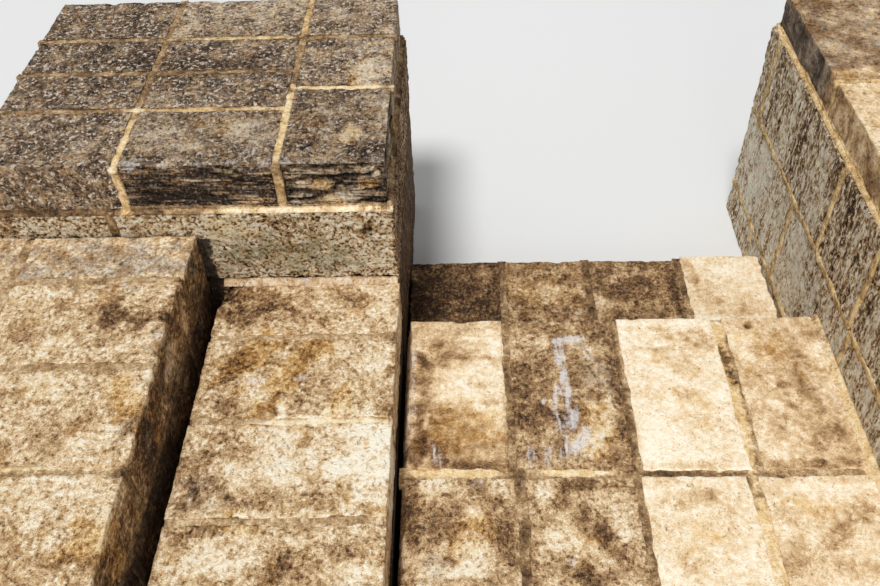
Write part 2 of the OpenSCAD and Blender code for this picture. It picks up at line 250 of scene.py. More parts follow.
bedding = dict(
    paleStone,
    ramp=[(46, 34, 25), (84, 62, 43), (120, 92, 62), (158, 126, 88), (196, 164, 122), (226, 202, 166)],
    second=[
        (96, 72, 46), (146, 112, 70), (190, 154, 102), (224, 190, 134), (243, 213, 162), (251, 238, 208)],
    hollowShade=0.5, shift=(1.4, 2.6, 0.8), film=0.3, mottle=1.5, grain=1.7, fleck=0.9, streak=0.0,
    pits=1.2, salt=0.5, fine=0.7, smoothing=0.3, bump=0.008)
rubbleFill = dict(bedding, shift=(4.0, 0.2, 1.1))


def makeStone(name, look):
    material, shader = newMaterial(name)
    tree = material.node_tree
    place = Wire(tree).make("TexCoord", None, None, "Object").mapped((1, 1, 1), look["shift"])
    stain = place.make("Attribute", {"attribute_name": "stain"}, None, "Color")
    lime = place.make("Attribute", {"attribute_name": "stain"}, None, "Alpha")
    trace = place.make("Attribute", {"attribute_name": "trace"}, None, "Color")
    side = place.make("Attribute", {"attribute_name": "trace"}, None, "Alpha")
    tone, second, ochre = stain.channels()
    moss, sootAndShade, shadedHollow = trace.channels()

    film = place.mapped(look["filmScale"]).noise(1.0, 12, 0.74, 0.35)
    mottle = place.noise(27, 9, 0.72, 0.3)
    patchy = place.noise(43, 8, 0.74, 0.2)
    grain = place.noise(105, 6, 0.75)
    fleck = place.noise(380, 3, 0.7)
    grit = place.mapped(look["gritScale"]).noise(1.0, 3, 0.55, 0.25)
    streaked = place.mapped(look["streakScale"], (0, 0, 0), look["streakTurn"])
    streak = streaked.noise(1.0, 7, 0.7, 0.3)
    pitted = (0.5 - look["gritCover"] - grit).ease(0.0, 0.07)
    salted = (grit - 0.5 - look["gritCover"]).ease(0.0, 0.07)
    offset = streak - 0.5
    veined = (0.02 - offset.calc("ABSOLUTE", offset)).ease(0.0, 0.02) * mottle.ease(0.46, 0.58)

    bare = 1 - tone
    cover = bare + (film - 0.5) * look["spread"] + (grain - 0.5) * 0.8
    cover = cover.ease(0.5 - look["edge"], 0.5 + look["edge"])
    coarse = (mottle - 0.5) * look["mottle"] + (grain - 0.5) * look["grain"] + (fleck - 0.5) * look["fleck"]
    coarse = coarse + salted * (0.2 * look["salt"]) - veined * (0.2 * look["veins"])
    coarse = coarse * (1 - (tone + (film - 0.5) * 0.8).ease(0.55, 1.0) * look["smoothing"])
    coarse = coarse - pitted * (0.26 * look["pits"])
    level = tone + (bare - cover) * look["film"] + offset * look["streak"]
    # painted shade: the colour darkens where the surface lies deep
    level = level + coarse - shadedHollow * look["hollowShade"]
    if look["layers"]:
        layered = place.mapped((11, 11, 125), (0, 0, 0), look["streakTurn"]).noise(1.0, 6, 0.68, 0.25)
        level = level + (layered - 0.5) * side * look["layers"]
    secondMask = (second + (patchy - 0.5) * 1.4 + (grain - 0.5) * 0.6).ease(0.3, 0.7)
    ochreMask = (ochre + (film - 0.5) * 1.6 + (patchy - 0.5) * 0.8).ease(0.3, 0.75)
    colour = secondMask.blend(level.ramp(look["ramp"]), level.ramp(look["second"]))
    colour = (ochreMask * 0.85).blend(colour, level.ramp(look["ochre"]))
    mossMask = (moss + (mottle - 0.5) * 1.2 + (grain - 0.5) * 1.6).ease(0.36, 0.8)
    colour = (mossMask * 0.7).blend(colour, tint(*look["moss"]))
    specked = (place.noise(look["speckScale"], 4, 0.7, 0.4) - 0.56).ease(0.0, 0.03)
    specked = specked * (patchy + film * 0.4).ease(0.54, 0.7)
    if look["layers"]:
        specked = specked * (1 - side * 0.75)
    colour = (specked * (0.9 * look["specks"])).blend(colour, tint(*look["speckTint"]))
    drip = place.mapped(look["dripScale"]).noise(1.0, 5, 0.65, 0.2)
    limeMask = (lime + (drip - 0.5) * 2.6 + (grain - 0.5) * 1.6).ease(0.3, 1.25)
    colour = (limeMask * 0.85).blend(colour, tint(*look["lime"]))
    # soot and painted shade: a near-black brown laid over the slot and other shaded places
    sootAndShadeMask = (sootAndShade + (mottle - 0.5) * 0.6 + (grain - 0.5) * 0.5).ease(0.3, 0.85)
    colour = (sootAndShadeMask * 0.92).blend(colour, tint(*look["sootAndShade"]))

    rough = 0.92 - limeMask * 0.12 + (grain - 0.5) * 0.2
    height = grain * 0.6 + fleck * 0.22 - pitted * 0.35 + salted * 0.15 - veined * (0.12 * look["veins"])
    height = height * look["fine"] + mottle * 0.5 + streak * 0.35
    if look["layers"]:
        height = height + layered * side * 0.6
    bump = height.make("Bump", None, {"Height": height, "Distance": look["bump"], "Strength": 0.9}, "Normal")
    tree.links.new(colour.socket, shader.inputs["Base Color"])
    tree.links.new(rough.socket, shader.inputs["Roughness"])
    tree.links.new(bump.socket, shader.inputs["Normal"])
    shader.inputs["Specular IOR Level"].default_value = 0.22
    return material


pale = makeStone("pale_limestone", paleStone)
worn = makeStone("worn_limestone", wornStone)
brown = makeStone("brown_limestone", brownStone)
grey = makeStone("weathered_limestone", greyStone)
crusted = makeStone("crusted_limestone", roughStone)
walling = makeStone("streaked_limestone", wallStone)
capping = makeStone("coping_limestone", copingStone)
cleft = makeStone("cleft_limestone", splitStone)
mortar = makeStone("lime_mortar", bedding)
rubble = makeStone("rubble_core", rubbleFill)
print("materials made")


# Sides are named as the viewer at the top of the flight sees them
sides = {
    "left": (0, -1), "right": (0, 1),
    "near": (1, -1), "far": (1, 1),
    "under": (2, -1), "top": (2, 1),
}


def blocksOf(node):
    # the separate blocks of a course, as (lowest corner, highest corner)
    bm = bmesh.new()
    bm.from_mesh(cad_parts[node].data)
    bmesh.ops.remove_doubles(bm, verts=bm.verts, dist=1e-5)
    left = set(bm.verts)
    found = []
    while left:
        island, edge = set(), [left.pop()]
        while edge:
            vert = edge.pop()
            island.add(vert)
            for link in vert.link_edges:
                other = link.other_vert(vert)
                if other in left:
                    left.remove(other)
                    edge.append(other)
        corners = list(zip(*(vert.co for vert in island)))
        found.append((Vector(map(min, corners)), Vector(map(max, corners))))
    bm.free()
    return sorted(found, key=lambda block: tuple(round(value, 4) for value in block[0]))


masonry = {node: blocksOf(node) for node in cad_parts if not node.endswith("mortar")}
allBlocks = [block for blocks in masonry.values() for block in blocks]
jointReach = 0.021        # a block this near hides the side behind the joint
faceSlack = 0.003         # and it may start this much before the side
hideMargin = 0.008        # a block also hides this much past its edges
probes = 12               # points tried each way over a side
bareProbes = 14           # a side shows when more than these are free


def openSides(low, high):
    shown = []
    for side, (axis, sign) in sides.items():
        if side == "under":
            continue
        across, along = (k for k in range(3) if k != axis)
        face = high[axis] if sign > 0 else low[axis]
        before = []
        for otherLow, otherHigh in allBlocks:
            ahead = otherLow[axis] - face if sign > 0 else face - otherHigh[axis]
            if -faceSlack <= ahead <= jointReach:
                before.append((otherLow, otherHigh))
        bare = 0
        for i in range(probes):
            for j in range(probes):
                u = low[across] + (high[across] - low[across]) * (i + 0.5) / probes
                v = low[along] + (high[along] - low[along]) * (j + 0.5) / probes
                hidden = any(
                    a[across] - hideMargin <= u <= b[across] + hideMargin
                    and a[along] - hideMargin <= v <= b[along] + hideMargin
                    for a, b in before)
                bare += not hidden
        if bare > bareProbes:
            shown.append(side)
    return shown


thinBlock = 0.03          # a thinner block has even rows, no closer than this:
closestRows = 0.0045
arrisBand = 0.0075        # the width of an arris, and the row inside it
arrisRow = 0.0028


def rowPlaces(length, cell):
    # rows of vertices: close together at both arrises, even between them
    if length < thinBlock:
        count = max(round(length / max(closestRows, min(cell, length / 2))), 2)
        return [length * index / count for index in range(count + 1)]
    between = length - 2 * arrisBand
    inner = max(round(between / cell), 1)
    even = [arrisBand + between * index / inner for index in range(inner + 1)]
    return [0.0, arrisRow] + even + [length - arrisRow, length]


def gridBlock(low, high, cell):
    bm = bmesh.new()
    bmesh.ops.create_cube(bm, size=1.0)
    bmesh.ops.translate(bm, vec=(0.5, 0.5, 0.5), verts=bm.verts)
    places = [rowPlaces(high[axis] - low[axis], cell[axis]) for axis in range(3)]
    for axis in range(3):
        along = []
        for edge in bm.edges:
            span = edge.verts[0].co - edge.verts[1].co
            if abs(span[axis]) > 0.9:
                along.append(edge)
        bmesh.ops.subdivide_edges(bm, edges=along, cuts=len(places[axis]) - 2, use_grid_fill=True)
    for vert in bm.verts:
        for axis in range(3):
            index = round(vert.co[axis] * (len(places[axis]) - 1))
            vert.co[axis] = low[axis] + places[axis][index]
    return bm


def exposure(point, low, high, shown, reach):
    # 1 on a side that shows, down to 0 where the stone is buried
    best = 0.0
    for side in shown:
        axis, sign = sides[side]
        gap = high[axis] - point[axis] if sign > 0 else point[axis] - low[axis]
        if gap < reach:
            best = max(best, smooth(reach - gap, 0.0, reach))
    return best


splitOverrun = 8          # millimetres that a split runs out past its line
splitTaper = 10


def splitBack(x, z, splits):
    # millimetres that a split takes from the face: a sharp lip above, a ledge below
    back = 0.0
    for depth, ledge, line in splits:
        start, end = line[0][0], line[-1][0]
        if not start - splitOverrun < x < end + splitOverrun:
            continue
        for (x0, z0), (x1, z1) in zip(line, line[1:]):
            if x0 - splitOverrun <= x <= x1 + splitOverrun:
                t = min(max((x - x0) / (x1 - x0), 0.0), 1.0)
                rise = z - z0 - (z1 - z0) * t - 2.2 * noise.noise(Vector((x * 0.09, z0 * 0.3, 0)))
                share = 1 - smooth(rise, 0.0, 3.0) if rise > 0 else 1 - smooth(-rise, 1.5, ledge)
                ends = smooth(x, start - splitOverrun, start + splitTaper)
                ends *= 1 - smooth(x, end - splitTaper, end + splitOverrun)
                back = max(back, depth * share * ends)
    return back


def weather(point, normal, look):
    # how far the surface has gone back from the block's own face, in metres
    p = point + Vector(look["seed"])
    stretch = look["stretch"]
    q = Vector((p.x * stretch[0], p.y * stretch[1], p.z * stretch[2]))
    wide = noise.fractal(q * 9, 0.9, 2.1, 3)
    fine = noise.fractal(q * 55, 0.7, 2.2, 4)
    back = look["depth"] * (0.5 + 0.5 * wide + 0.45 * fine)
    if look["pits"] > 0:
        near = noise.voronoi(q * look["pitScale"])[0][0]
        back += look["pitDepth"] * (1 - smooth(near, look["pits"] * 0.4, look["pits"]))
    if look["beds"] > 0 and abs(normal.z) < 0.6:
        waves = noise.noise(Vector((p.x * 7, p.y * 7, p.z * 12)))
        level = p.z + p.x * look["dip"] + 0.007 * waves + 0.003 * fine
        bed = math.floor(level / look["beds"])
        phase = level / look["beds"] - bed
        step = noise.noise(Vector((p.x * 11, p.y * 11, bed * 3.7)))
        back += look["bedDepth"] * (0.5 + 0.9 * step)
        back += look["bedDepth"] * (1 - smooth(phase, 0.0, 0.18))
    if look["splits"] and normal.y < -0.5:
        local = (point - flightOrigin) * 1000
        back += splitBack(local.x, local.z, look["splits"]) / 1000
    return max(back, 0.0)


frayReach = 0.05          # how far in from a side its wandering fades out
shownFray = 0.35          # share of the wandering on a side that shows
wornTaper = 15            # millimetres over which a worn stretch begins and ends


def frayed(point, low, high, shown, look, bare):
    # the joint sides wander, so that a joint is never a ruled line
    moved = point.copy()
    seed = Vector(look["seed"])
    local = (point - flightOrigin) * 1000
    for side, (axis, sign) in sides.items():
        if axis == 2:
            continue
        gap = high[axis] - point[axis] if sign > 0 else point[axis] - low[axis]
        if gap > frayReach:
            continue
        run = Vector(point)
        run[axis] = 0.31 * sign
        wander = 0.5 + 0.8 * noise.noise(run * 13 + seed) + 0.7 * noise.noise(run * 45 + seed)
        shift = look["ragged"] * max(wander, 0.0) * (shownFray if side in shown else 1.0)
        for wornSide, start, end, amount in look["worn"]:
            if wornSide == side:
                place = local[1 - axis]
                ends = smooth(place, start - wornTaper, start + wornTaper)
                ends *= 1 - smooth(place, end - wornTaper, end + wornTaper)
                shift += amount / 1000 * ends * max(0.7 + 0.8 * noise.noise(run * 18 - seed), 0.1)
        moved[axis] -= sign * shift * bare * (1 - gap / frayReach)
    return moved


def wearStone(bm, low, high, shown, look):
    middle = (low + high) / 2
    reach = look["reach"]
    seed = Vector(look["seed"])
    shadedHollow = bm.verts.layers.float.new("shadedHollow")
    for vert in bm.verts:
        point = vert.co.copy()
        bare = exposure(point, low, high, shown, reach)
        if bare <= 0:
            vert[shadedHollow] = 1.0
            continue
        wander = 0.55 + 0.8 * noise.noise((point + seed) * 16) + 0.6 * noise.noise((point + seed) * 60)
        radius = 0.0012 + look["wear"] * bare * max(wander, 0.1)
        radius += look["chips"] * bare * smooth(noise.noise((point + seed) * 24), 0.28, 0.6)
        inner = Vector(
            min(max(point[k], low[k] + radius), high[k] - radius) for k in range(3)
        )
        out = point - inner
        if out.length > 0:
            out.normalize()
            point = inner + out * radius
        else:
            out = (point - middle).normalized()
        back = weather(point, out, look) * bare
        for x, y, z, r, depth in look["dips"]:
            away = (point - onFlight(x, y, z)).length * 1000
            away += 0.3 * r * noise.noise(point * 45)
            if away < r:
                back += depth / 1000 * smooth(r - away, 0.0, r * 0.55) * bare
        # painted shade: deep weathering, and stone close to a buried side, are marked to be painted darker
        vert[shadedHollow] = max(1 - bare, smooth(back, look["depth"] * 1.1, look["depth"] * 1.1 + 0.006))
        vert.co = frayed(point - out * back, low, high, shown, look, bare)


def flatten(bm, low, high, shown, reach):
    # the buried sides stay flat, so their rows are dissolved again
    buried = [vert for vert in bm.verts if exposure(vert.co, low, high, shown, reach) <= 0]
    inside = set(buried)
    edges = [edge for edge in bm.edges if edge.verts[0] in inside and edge.verts[1] in inside]
    bmesh.ops.dissolve_limit(
        bm, angle_limit=math.radians(0.5), verts=buried, edges=edges, use_dissolve_boundaries=False)


stoneLook = {
    "cell": (0.005, 0.005, 0.02),
    "reach": 0.032,
    "wear": 0.0032,
    "chips": 0.010,
    "ragged": 0.0045,
    "depth": 0.0022,
    "stretch": (1.0, 1.0, 1.0),
    "pits": 0.0,
    "pitScale": 60.0,
    "pitDepth": 0.002,
    "beds": 0.0,
    "bedDepth": 0.003,
    "dip": 0.0,
    "splits": [],
    "seed": (0.0, 0.0, 0.0),
    "dips": [],
    "worn": [],
    "base": {"tone": 0.6},
    "vary": 0.05,
    "patches": [],
    "zones": [],
    "material": pale,
    "slot": "pale_limestone",
}
channelPlaces = {"tone": 0, "grey": 1, "clean": 1, "ochre": 2, "lime": 3, "moss": 4, "sootAndShade": 5}
markDepth = 12            # millimetres below the crown that a thin mark reaches
nearEnd = 90              # a mark on a near face ends this far down the flight


# A patch names its channel and plane, and then its marks: how much, the middle, the two
# radii in millimetres and, where there is one, the turn in degrees
def patchShare(local, below, wobble, plane, u, v, ru, rv, turn=0):
    # a thin mark keeps its shape and stays on the top, a broad stain wanders and runs down
    wobble *= 0.3 + 0.7 * smooth(min(ru, rv), 8, 35)
    if plane == "top" and below > markDepth + 600 * smooth(min(ru, rv), 18, 40):
        return 0.0
    if plane == "near" and local.y > nearEnd:
        return 0.0
    a = local.y if plane == "stair" else local.x
    b = local.y if plane == "top" else local.z
    c, s = math.cos(math.radians(turn)), math.sin(math.radians(turn))
    du, dv = a - u, b - v
    far = math.hypot((du * c + dv * s) / ru, (dv * c - du * s) / rv) + wobble
    return 1 - smooth(far, 0.45, 1.45)


def paintStone(bm, look):
    stain = bm.verts.layers.float_color.new("stain")
    trace = bm.verts.layers.float_color.new("trace")
    shadedHollow = bm.verts.layers.float["shadedHollow"]
    base = [0.0] * 6
    for channel, amount in look["base"].items():
        base[channelPlaces[channel]] = amount
    own = noise.noise(Vector(look["seed"]) * 31)
    base[0] += look["vary"] * 2 * own
    crown = max(vert.co.z for vert in bm.verts)
    for vert in bm.verts:
        values = list(base)
        local = (vert.co - flightOrigin) * 1000
        wobble = noise.fractal(vert.co * 24, 0.7, 2.1, 4) * 0.75
        below = (crown - vert.co.z) * 1000
        for channel, plane, marks in look["patches"]:
            for amount, *mark in marks:
                share = patchShare(local, below, wobble, plane, *mark)
                values[channelPlaces[channel]] += amount * share
        for channel, amount, limits in look["zones"]:
            share = 1.0
            for axis, start, end in limits:
                share *= smooth(local[axis] + wobble * abs(end - start) * 0.8, start, end)
            values[channelPlaces[channel]] += amount * share
        vert[stain] = values[:4]
        side = smooth(below, 3, 12)
        vert[trace] = (values[4], values[5], vert[shadedHollow], side)


def joinPieces(name, parts, look, nodes):
    gathered = bmesh.new()
    for bm in parts:
        part = bpy.data.meshes.new("part")
        bm.to_mesh(part)
        bm.free()
        gathered.from_mesh(part)
        bpy.data.meshes.remove(part)
    for vert in gathered.verts:
        for k in range(3):
            vert.co[k] = min(max(vert.co[k], cadBox[0][k]), cadBox[1][k])
    bmesh.ops.recalc_face_normals(gathered, faces=gathered.faces)
    for face in gathered.faces:
        face.smooth = True
    whole = bpy.data.meshes.new(name)
    gathered.to_mesh(whole)
    gathered.free()
    whole.materials.append(look["material"])
    made = bpy.data.objects.new(name, whole)
    bpy.context.scene.collection.objects.link(made)
    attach(made, "root")
    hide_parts(*nodes)
    print("  ", name, "triangles:", sum(len(face.vertices) - 2 for face in whole.polygons))


def dressStones(name, nodes, look):
    look = dict(stoneLook, **look)
    parts = []
    for node in nodes:
        for low, high in masonry[node]:
            shown = openSides(low, high)
            own = dict(look, seed=tuple((low + high) * 7.3))
            bm = gridBlock(low, high, look["cell"])
            wearStone(bm, low, high, shown, own)
            flatten(bm, low, high, shown, look["reach"])
            paintStone(bm, own)
            parts.append(bm)
    joinPieces(name, parts, look, nodes)


# The landing's front row, from the left wall
landingFront = {
    "1": {
        "base": {"tone": 0.69, "ochre": 0.12},
        "worn": [("left", -440, 0, 9), ("near", 0, 260, 13)],
        "patches": [
            ("tone", "top", [
                (-0.2, 120, -350, 109, 85), (-0.14, 62, -386, 52, 36), (-0.2, 52, -240, 27, 115),
                (-0.24, 158, -423, 127, 18), (0.22, 198, -189, 60, 107), (0.12, 187, -78, 57, 29),
                (0.14, 106, -203, 41, 53), (-0.16, 111, -103, 71, 44), (-0.14, 83, -164, 28, 48),
                (0.1, 215, -303, 31, 38), (-0.14, 243, -304, 11, 137), (-0.16, 181, -122, 61, 9),
                (-0.14, 202, -201, 46, 9), (-0.16, 210, -253, 36, 8), (-0.14, 186, -289, 40, 8)]),
            ("ochre", "top", [(0.46, 133, -335, 100, 80)]),
            ("lime", "top", [
                (0.55, 25, -95, 19, 51), (0.55, 25, -222, 14, 87), (0.6, 88, -394, 11, 41, 15),
                (0.5, 26, -344, 11, 59)]),
        ],
    },
    "2": {
        "base": {"tone": 0.4, "ochre": 0.16},
        "worn": [("near", 250, 440, 9)],
        "material": brown,
        "patches": [
            ("tone", "top", [
                (0.16, 282, -83, 52, 38), (0.16, 460, -102, 56, 38), (0.14, 459, -187, 36, 65),
                (0.24, 452, -301, 35, 71, -35), (0.24, 408, -364, 47, 31, -35),
                (-0.12, 291, -248, 40, 142), (0.06, 333, -191, 32, 89), (-0.14, 489, -208, 14, 146),
                (0.15, 321, -353, 35, 32), (0.16, 316, -415, 72, 18), (-0.14, 380, -305, 48, 27, -30)]),
            ("ochre", "top", [(0.45, 438, -333, 43, 80)]),
            ("grey", "top", [(0.5, 443, -169, 55, 84)]),
            ("lime", "top", [
                (1.0, 402, -66, 45, 13, 6), (0.8, 373, -100, 12, 38), (0.8, 374, -150, 12, 42, -4),
                (0.8, 376, -203, 14, 41, -8), (0.8, 380, -255, 13, 40, -10),
                (0.85, 388, -305, 15, 41, -14), (0.95, 406, -348, 17, 40, -30),
                (0.8, 353, -232, 9, 34), (0.6, 351, -305, 9, 60), (0.6, 367, -348, 9, 42),
                (0.9, 324, -252, 9, 11), (0.7, 449, -344, 13, 13), (0.8, 288, -396, 13, 41),
                (0.8, 324, -399, 11, 38), (0.5, 371, -390, 34, 20), (0.6, 431, -370, 13, 16)]),
        ],
    },
    "3": {
        "base": {"tone": 0.93, "ochre": 0.08},
        "worn": [("left", -440, 0, 3)],
        "patches": [
            ("tone", "top", [
                (-0.12, 618, -53, 81, 23), (-0.16, 663, -123, 60, 80), (-0.14, 503, -223, 11, 174, 8),
                (-0.18, 619, -428, 92, 17), (-0.12, 674, -320, 52, 81), (0.06, 557, -361, 64, 68),
                (-0.14, 574, -33, 72, 10), (-0.16, 592, -101, 70, 9), (-0.14, 716, -90, 37, 38),
                (-0.1, 550, -194, 36, 41), (-0.12, 598, -308, 22, 22)]),
            ("ochre", "top", [(0.35, 643, -253, 89, 155)]),
        ],
    },
    "4": {
        "base": {"tone": 0.63, "ochre": 0.1},
        "worn": [("left", -440, -20, 5)],
        "dips": [(861, -213, 282, 9, 4), (830, -31, 282, 10, 4)],
        "patches": [
            ("tone", "top", [
                (-0.08, 940, -93, 60, 69), (-0.1, 893, -199, 72, 70, -20), (-0.08, 911, -306, 60, 81),
                (-0.1, 944, -370, 59, 41), (-0.24, 861, -425, 103, 15), (0.2, 806, -379, 51, 26, -40),
                (0.18, 989, -116, 41, 56, 50), (0.16, 1006, -224, 31, 75, 60),
                (0.16, 812, -91, 23, 69), (-0.24, 831, -27, 13, 11), (-0.16, 868, -213, 16, 14),
                (0.16, 871, -343, 43, 11, -40), (0.16, 852, -278, 44, 11, -40),
                (0.16, 905, -403, 38, 10, -40), (0.12, 828, -241, 27, 57)]),
            ("lime", "top", [(0.5, 976, -257, 13, 95, 24)]),
            ("ochre", "top", [(0.4, 853, -114, 69, 87)]),
            ("grey", "top", [(0.3, 926, -262, 57, 112)]),
        ],
    },
}
for key, look in landingFront.items():
    look = dict(look, cell=(0.0046, 0.0046, 0.02))
    dressStones("landing_front_" + key, ["landing_front_stone_" + key], look)

# The landing's back row, nearer to the viewer
landingBack = {
    "1": {
        "base": {"tone": 0.6, "ochre": 0.15},
        "worn": [("left", -890, -450, 9)],
        "material": brown,
        "patches": [
            ("tone", "top", [
                (-0.2, 95, -551, 52, 55), (-0.26, 38, -528, 16, 116), (-0.22, 173, -482, 37, 34),
                (-0.22, 224, -597, 28, 74), (0.28, 158, -631, 35, 34), (0.22, 74, -471, 29, 24),
                (0.2, 215, -473, 25, 24), (0.2, 115, -664, 50, 15), (0.16, 166, -540, 20, 27)]),
            ("lime", "top", [
                (0.6, 88, -457, 10, 29, 20), (0.6, 174, -458, 13, 29, -15), (0.5, 44, -466, 13, 19)]),
            ("ochre", "top", [(0.4, 155, -585, 56, 66)]),
            ("grey", "top", [(0.4, 96, -660, 58, 42)]),
        ],
    },
    "2": {
        "base": {"tone": 0.63, "ochre": 0.1},
        "worn": [("left", -890, -450, 4)],
        "material": brown,
        "patches": [
            ("tone", "top", [
                (-0.18, 400, -549, 32, 50), (-0.24, 339, -512, 28, 19),
                (-0.16, 346, -657, 40, 28, -20), (0.22, 330, -576, 28, 40), (0.2, 441, -508, 37, 23),
                (0.2, 380, -609, 31, 19, 35), (-0.36, 262, -575, 12, 107),
                (-0.2, 433, -609, 22, 43, 30), (0.22, 309, -507, 16, 33),
                (-0.25, 307, -542, 12, 27, 30), (-0.2, 374, -469, 54, 16), (0.2, 458, -565, 16, 36),
                (-0.2, 401, -678, 49, 16)]),
            ("lime", "top", [
                (0.6, 250, -657, 15, 13), (0.6, 349, -645, 13, 13), (0.5, 255, -597, 8, 26)]),
            ("ochre", "top", [(0.35, 360, -609, 59, 56)]),
        ],
    },
    "3": {
        "base": {"tone": 0.8, "ochre": 0.12},
        "patches": [
            ("tone", "top", [
                (-0.16, 591, -509, 57, 28), (-0.14, 597, -642, 46, 25), (0.06, 536, -490, 29, 24),
                (-0.14, 535, -577, 32, 35, -30), (-0.12, 664, -556, 24, 54), (-0.12, 583, -467, 49, 12)]),
            ("ochre", "top", [(0.3, 608, -589, 67, 57)]),
        ],
    },
    "4": {
        "base": {"tone": 0.73, "ochre": 0.14},
        "patches": [
            ("tone", "top", [
                (0.12, 893, -484, 101, 17), (-0.2, 874, -580, 58, 35), (-0.18, 788, -644, 42, 25),
                (-0.2, 941, -536, 28, 27), (-0.16, 794, -553, 24, 23), (-0.16, 879, -657, 38, 21),
                (0.1, 829, -601, 19, 13, -30)]),
            ("ochre", "top", [(0.35, 843, -530, 52, 41)]),
        ],
    },
}
for key, look in landingBack.items():
    look = dict(look, cell=(0.0048, 0.0048, 0.016))
    dressStones("landing_back_" + key, ["landing_back_stone_" + key], look)

# The tread. Its left stone is dark brown and painted darker still as the pier's shadow, most along its left
# edge
treadStones = {
    "1": {
        "base": {"tone": 0.26, "ochre": 0.15},
        "material": brown,
        "patches": [
            ("tone", "top", [
                (-0.12, 169, 240, 83, 54), (-0.15, 30, 200, 45, 220), (0.14, 150, 60, 90, 26),
                (0.1, 200, 330, 40, 30)]),
        ],
    },
    "2": {
        "base": {"tone": 0.42, "ochre": 0.35},
        "material": brown,
        "patches": [
            ("tone", "top", [(0.14, 364, 268, 97, 32)]),
            ("ochre", "top", [(0.15, 379, 276, 125, 48)]),
            ("lime", "top", [(0.55, 454, 189, 34, 12)]),
        ],
    },
    "3": {
        "base": {"tone": 0.44, "ochre": 0.25},
        "material": brown,
        "patches": [
            ("tone", "top", [
                (-0.25, 738, 269, 14, 98), (-0.12, 618, 291, 83, 56), (0.16, 530, 234, 45, 31)]),
        ],
    },
    "4": {
        "base": {"tone": 0.86, "ochre": 0.1},
        "dips": [(800, 250, 108, 9, 4)],
        "patches": [
            ("tone", "top", [
                (-0.14, 822, 268, 44, 55), (-0.12, 923, 227, 54, 31), (-0.2, 792, 328, 17, 65),
                (0.06, 922, 346, 67, 33), (-0.16, 899, 182, 80, 15)]),
        ],
    },
}
for key, look in treadStones.items():
    look = dict(look, cell=(0.005, 0.005, 0.014), wear=0.007, ragged=0.006)
    dressStones("tread_" + key, ["tread_stone_" + key], look)

# The low wall's caps, from the near end to the pier
# painted shade: the slot between terrace and low wall is darkened low down with soot colour
slotShade = ("sootAndShade", 0.3, [(0, -404, -420), (2, 392, 372)])
# painted shade: the stair faces, turned away from the key lamp, are darkened
stairShade = ("tone", -0.06, [(0, -14, -2), (2, 396, 380)])
lowCapPatches = [
    ("tone", "top", [
        (-0.22, -344, -49, 80, 52), (-0.22, -111, -33, 42, 16), (-0.1, -227, -86, 102, 29),
        (0.14, -61, -86, 46, 57), (-0.2, -319, -209, 36, 70, -40), (-0.16, -213, -245, 26, 108, -30),
        (0.16, -52, -239, 35, 68), (-0.14, -370, -290, 35, 77), (0.14, -272, -289, 34, 61, -30),
        (0.14, -151, -209, 31, 64, -30), (0.34, -232, -364, 8, 31, 15), (0.34, -181, -386, 50, 10),
        (0.32, -137, -373, 8, 21), (0.34, -53, -480, 60, 95), (0.14, -34, -427, 32, 40),
        (-0.28, -373, -517, 40, 65), (-0.14, -339, -434, 53, 44), (0.12, -222, -471, 56, 62),
        (-0.12, -150, -575, 65, 22), (-0.18, -266, -574, 58, 24), (0.3, -328, -699, 48, 40),
        (0.2, -269, -669, 37, 24), (-0.28, -349, -638, 60, 17), (-0.18, -182, -700, 40, 40),
        (-0.14, -85, -671, 48, 26), (0.14, -62, -730, 47, 15), (0.12, -160, -660, 30, 18),
        (-0.12, -389, -584, 23, 31)]),
    ("ochre", "top", [
        (0.62, -319, -209, 44, 88, -40), (0.62, -217, -245, 31, 125, -30), (0.5, -113, -334, 29, 53),
        (0.4, -295, -628, 45, 25)]),
    ("lime", "top", [
        (0.65, -299, -278, 26, 14), (0.6, -199, -271, 17, 14), (0.5, -180, -383, 46, 10),
        (0.3, -191, 18, 191, 6)]),
    ("grey", "top", [(0.4, -357, -551, 58, 90)]),
    ("tone", "stair", [(0.1, -380, 330, 480, 60)]),
]
lowCapTones = {"1": 0.62, "2": 0.6, "3": 0.65, "4": 0.64}
lowCapDips = [(-425, 22, 398, 62, 16), (-425, -30, 398, 30, 7), (0, -150, 398, 22, 4)]
for key, level in lowCapTones.items():
    dressStones("low_cap_" + key, ["low_wall_cap_" + key], {
        "base": {"tone": level, "ochre": 0.3}, "patches": lowCapPatches, "dips": lowCapDips,
        # the zones paint shade into the slot and onto the stair face
        "zones": [slotShade, stairShade], "cell": (0.0045, 0.0045, 0.012), "material": worn})
dressStones("low_wall_body", ["low_wall_course", "low_wall_footing"], {
    "cell": (0.014, 0.014, 0.014), "base": {"tone": 0.32, "ochre": 0.2}, "depth": 0.005,
    # the zone paints shade into the slot
    "zones": [slotShade], "material": brown, "slot": "brown_limestone"})

